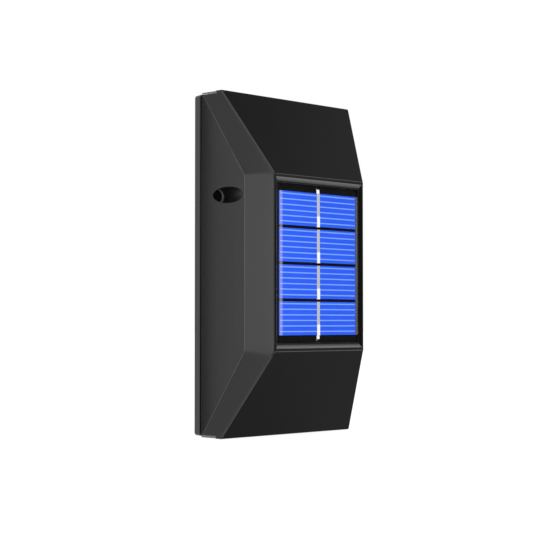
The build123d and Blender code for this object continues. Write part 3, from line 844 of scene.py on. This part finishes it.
# Dark in the grooves between turns and bright on their crests: painted shade and painted highlight.
shaded_winding = drum.blend(drum.ramp(turns, 0, 1, 0, wire_pitch / 2), (0.12, 0.035, 0.012, 1), (0.62, 0.22, 0.08, 1))
ferrite = drum.blend(drum.noise(0.2 * mm), grey(0.03), grey(0.05))
drum.colour(drum.blend(wound, ferrite, shaded_winding))
drum.metal(drum.ramp(wound, 0, 0.8, 0, 1))
drum.roughness(drum.ramp(drum.noise(0.2 * mm), 0.35, 0.55))
drum.bump(drum.math("MULTIPLY", wound, turns), 1.0)
dress(drum, "boost_inductor")

# %% [markdown]
# The capacitor is a drawn aluminium can in a shrunk sleeve. The sleeve leaves the top bare and carries a pale stripe
# on the side of the negative leg.

# %% Capacitor
can_low, can_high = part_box("storage_capacitor")
can_x = (can_low.x + can_high.x) / 2
bare_top = 0.1 * mm
stripe_half = 0.9 * mm

can = Finish("sleeved aluminium can")
bare = can.mask(can.math("SUBTRACT", can.axis("Y"), can_low.y), bare_top)
beside = can.mask(can.off("Z", (can_low.z + can_high.z) / 2), stripe_half)
striped = can.math("MULTIPLY", beside, can.math("GREATER_THAN", can.axis("X"), can_x))
sleeve = can.blend(striped, (0.012, 0.016, 0.035, 1), grey(0.45))
brushed = can.blend(can.noise(0.3 * mm), grey(0.62), grey(0.75))
can.colour(can.blend(bare, sleeve, brushed))
can.metal(bare)
can.roughness(can.ramp(can.noise(0.4 * mm), 0.3, 0.42))
can.bump(can.noise(0.3 * mm), 0.01 * mm)
dress(can, "storage_capacitor")

# %% [markdown]
# ## Switch
# Behind the cover sits a push switch: a dark body, a pale plunger and a soft rubber cap that is pressed from
# outside. The plastics differ in tone and gloss. The cap is dull and finely pebbled, so that a finger finds it.

# %% Switch
casing = Finish("switch casing")
casing.colour(casing.blend(casing.noise(0.8 * mm), grey(0.025), grey(0.04)))
casing.roughness(casing.ramp(casing.noise(0.3 * mm), 0.45, 0.6))
casing.bump(casing.noise(0.2 * mm), 0.01 * mm)
dress(casing, "switch_body")

plunger = Finish("pale plunger plastic")
plunger.colour(plunger.blend(plunger.noise(1 * mm), (0.66, 0.66, 0.63, 1), (0.76, 0.76, 0.73, 1)))
plunger.roughness(plunger.ramp(plunger.noise(0.3 * mm), 0.35, 0.45))
plunger.bump(plunger.noise(0.3 * mm), 0.005 * mm)
dress(plunger, "switch_plunger")

cap = Finish("pebbled rubber")
pebbles = cap.bubbles(0.5 * mm)
cap.colour(cap.blend(cap.noise(2 * mm), grey(0.09), grey(0.13)))
cap.roughness(cap.ramp(pebbles, 0.55, 0.75, 0, 0.6))
cap.bump(pebbles, 0.03 * mm)
dress(cap, "switch_button")

# %% [markdown]
# ## Diodes
# Each diode is a white moulded dish filled with yellow phosphor. The dishes stand in a row with an even pitch, so a
# ping-pong across the row gives the distance to the nearest one, and only the outer face is yellow.

# %% Diodes
led_pitch = 10 * mm
dish_radius = 1.15 * mm
face_skin = 0.05 * mm

for node in ("upper_leds", "lower_leds"):
    low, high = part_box(node)
    outer = high.z if high.z > 0 else low.z
    diode = Finish(f"{node} dish")
    along = diode.math("PINGPONG", diode.axis("X"), led_pitch / 2)
    sideways = diode.off("Y", (low.y + high.y) / 2)
    in_dish = diode.mask(diode.diagonal(along, sideways), dish_radius)
    filled = diode.math("MULTIPLY", in_dish, diode.mask(diode.off("Z", outer), face_skin))
    white = diode.blend(diode.noise(0.5 * mm), grey(0.72), grey(0.82))
    diode.colour(diode.blend(filled, white, (0.82, 0.58, 0.08, 1)))
    diode.roughness(diode.ramp(filled, 0.5, 0.25, 0, 1))
    diode.bump(filled, -0.05 * mm)
    dress(diode, node)

# %% [markdown]
# ## Rechargeable cell
# The cell is a steel can in a thin printed sleeve that wraps over the rims. Here the sleeve is plain green with one
# white band. Near the middle of both ends the nickel-plated steel is bare: a mask on the distance from the axis
# finds it, and a second one keeps it to the ends.

# %% Rechargeable cell
battery_low, battery_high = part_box("battery_cell")
battery_middle = (battery_low + battery_high) / 2
battery_half = (battery_high.z - battery_low.z) / 2
sleeve_hole = 5.6 * mm
end_skin = 1.2 * mm
band_half = 4 * mm
band_rise = 15 * mm

wrap = Finish("cell sleeve")
off_axis = wrap.diagonal(wrap.off("X", battery_middle.x), wrap.off("Y", battery_middle.y))
at_end = wrap.math("GREATER_THAN", wrap.off("Z", battery_middle.z), battery_half - end_skin)
bare = wrap.math("MULTIPLY", wrap.mask(off_axis, sleeve_hole), at_end)
green = wrap.blend(wrap.noise(8 * mm), (0.03, 0.24, 0.11, 1), (0.05, 0.31, 0.15, 1))
in_band = wrap.mask(wrap.off("Z", battery_middle.z + band_rise), band_half)
banded = wrap.blend(in_band, green, grey(0.75))
nickel = wrap.blend(wrap.noise(0.4 * mm), grey(0.55), grey(0.66))
wrap.colour(wrap.blend(bare, banded, nickel))
wrap.metal(bare)
wrap.roughness(wrap.ramp(wrap.noise(1 * mm), 0.22, 0.34))
wrap.bump(wrap.noise(2 * mm), 0.02 * mm)
dress(wrap, "battery_cell")

# %% [markdown]
# The holder is a plain black tray. Its plastic is a little duller and greyer than that of the housing.

# %% Cell holder
tray = Finish("holder plastic")
tray.colour(tray.blend(tray.noise(2 * mm), grey(0.02), grey(0.03)))
tray.roughness(tray.ramp(tray.noise(0.5 * mm), 0.4, 0.5))
tray.bump(tray.noise(0.3 * mm), 0.01 * mm)
dress(tray, "battery_holder")

# %% [markdown]
# ## Metal
# The contacts are stamped from nickel-plated sheet and the screws from zinc-plated steel. Both get full metal, a
# tone that wanders a little and a fine bump. Nickel is warmer and smoother, zinc is bluer and duller.

# %% Metal
contact = Finish("nickel plate", Metallic=1.0)
contact.colour(contact.blend(contact.noise(1 * mm), (0.60, 0.57, 0.52, 1), (0.70, 0.67, 0.62, 1)))
contact.roughness(contact.ramp(contact.noise(0.3 * mm, detail=4), 0.2, 0.32))
contact.bump(contact.noise(0.5 * mm), 0.01 * mm)
dress(contact, "positive_contact", "negative_contact")

zinc = Finish("zinc-plated steel", Metallic=1.0)
zinc.colour(zinc.blend(zinc.noise(0.6 * mm), (0.50, 0.51, 0.53, 1), (0.60, 0.61, 0.63, 1)))
zinc.roughness(zinc.ramp(zinc.noise(0.2 * mm, detail=4), 0.28, 0.42))
zinc.bump(zinc.noise(0.3 * mm), 0.01 * mm)
dress(zinc, "cover_screws", "board_screws")

# %% [markdown]
# ## Wires
# Each pair of wires has one red and one black sleeve. The two lie side by side, so a step between them on one axis
# picks the colour. Soft plastic has a mild gloss and a slightly uneven skin.

# %% Wires
red = (0.38, 0.012, 0.010, 1)


def wire_pair(node, letter):
    low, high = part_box(node)
    index = "XYZ".index(letter)
    between = (low[index] + high[index]) / 2
    finish = Finish(f"{node} sleeves")
    first = finish.math("LESS_THAN", finish.axis(letter), between)
    black_sleeve = finish.blend(finish.noise(1 * mm), grey(0.012), grey(0.02))
    finish.colour(finish.blend(first, black_sleeve, red))
    finish.roughness(finish.ramp(finish.noise(0.6 * mm), 0.35, 0.5))
    finish.bump(finish.noise(0.5 * mm), 0.01 * mm)
    dress(finish, node)


for node in ("panel_leads", "upper_led_leads", "lower_led_leads"):
    wire_pair(node, "X")
wire_pair("battery_leads", "Z")

# %% [markdown]
# ## Size
# Both boxes are printed, the CAD model's above and the dressed light's here, so that the two can be compared.

# %% Finish
low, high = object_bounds()
print("dressed box in mm:", [round(v / mm, 1) for v in high - low])
